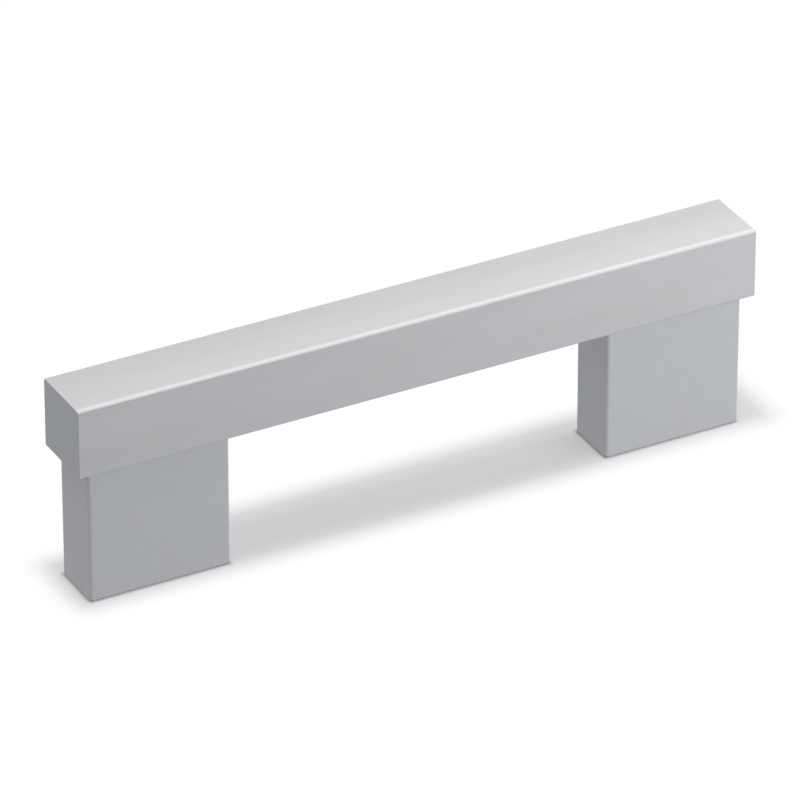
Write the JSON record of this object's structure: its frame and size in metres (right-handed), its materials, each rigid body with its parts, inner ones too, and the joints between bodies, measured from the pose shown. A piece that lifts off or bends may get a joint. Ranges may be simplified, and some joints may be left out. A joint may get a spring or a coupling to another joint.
{
  "type": "bow handle",
  "caption": "Straight square-section bar carried on rectangular block legs: a satin silver pull for a drawer or cupboard front, fixed by machine screws from behind.",
  "frame": {"origin": "on the mounting plane under the legs, midway between the two fixing threads", "axes": "+X along the bar, +Y to the back of the bar, +Z from the mounting plane out to the bar"},
  "size_m": [0.1256, 0.0126, 0.037],
  "materials": {
    "bar_metal": "satin natural anodised",
    "leg_metal": "matt silver over a zinc casting",
    "screw_steel": "bright zinc plated"
  },
  "bodies": {
    "root": {"bar": "bar_metal", "left_leg": "leg_metal", "right_leg": "leg_metal", "leg_screws": "screw_steel"}
  },
  "joints": []
}
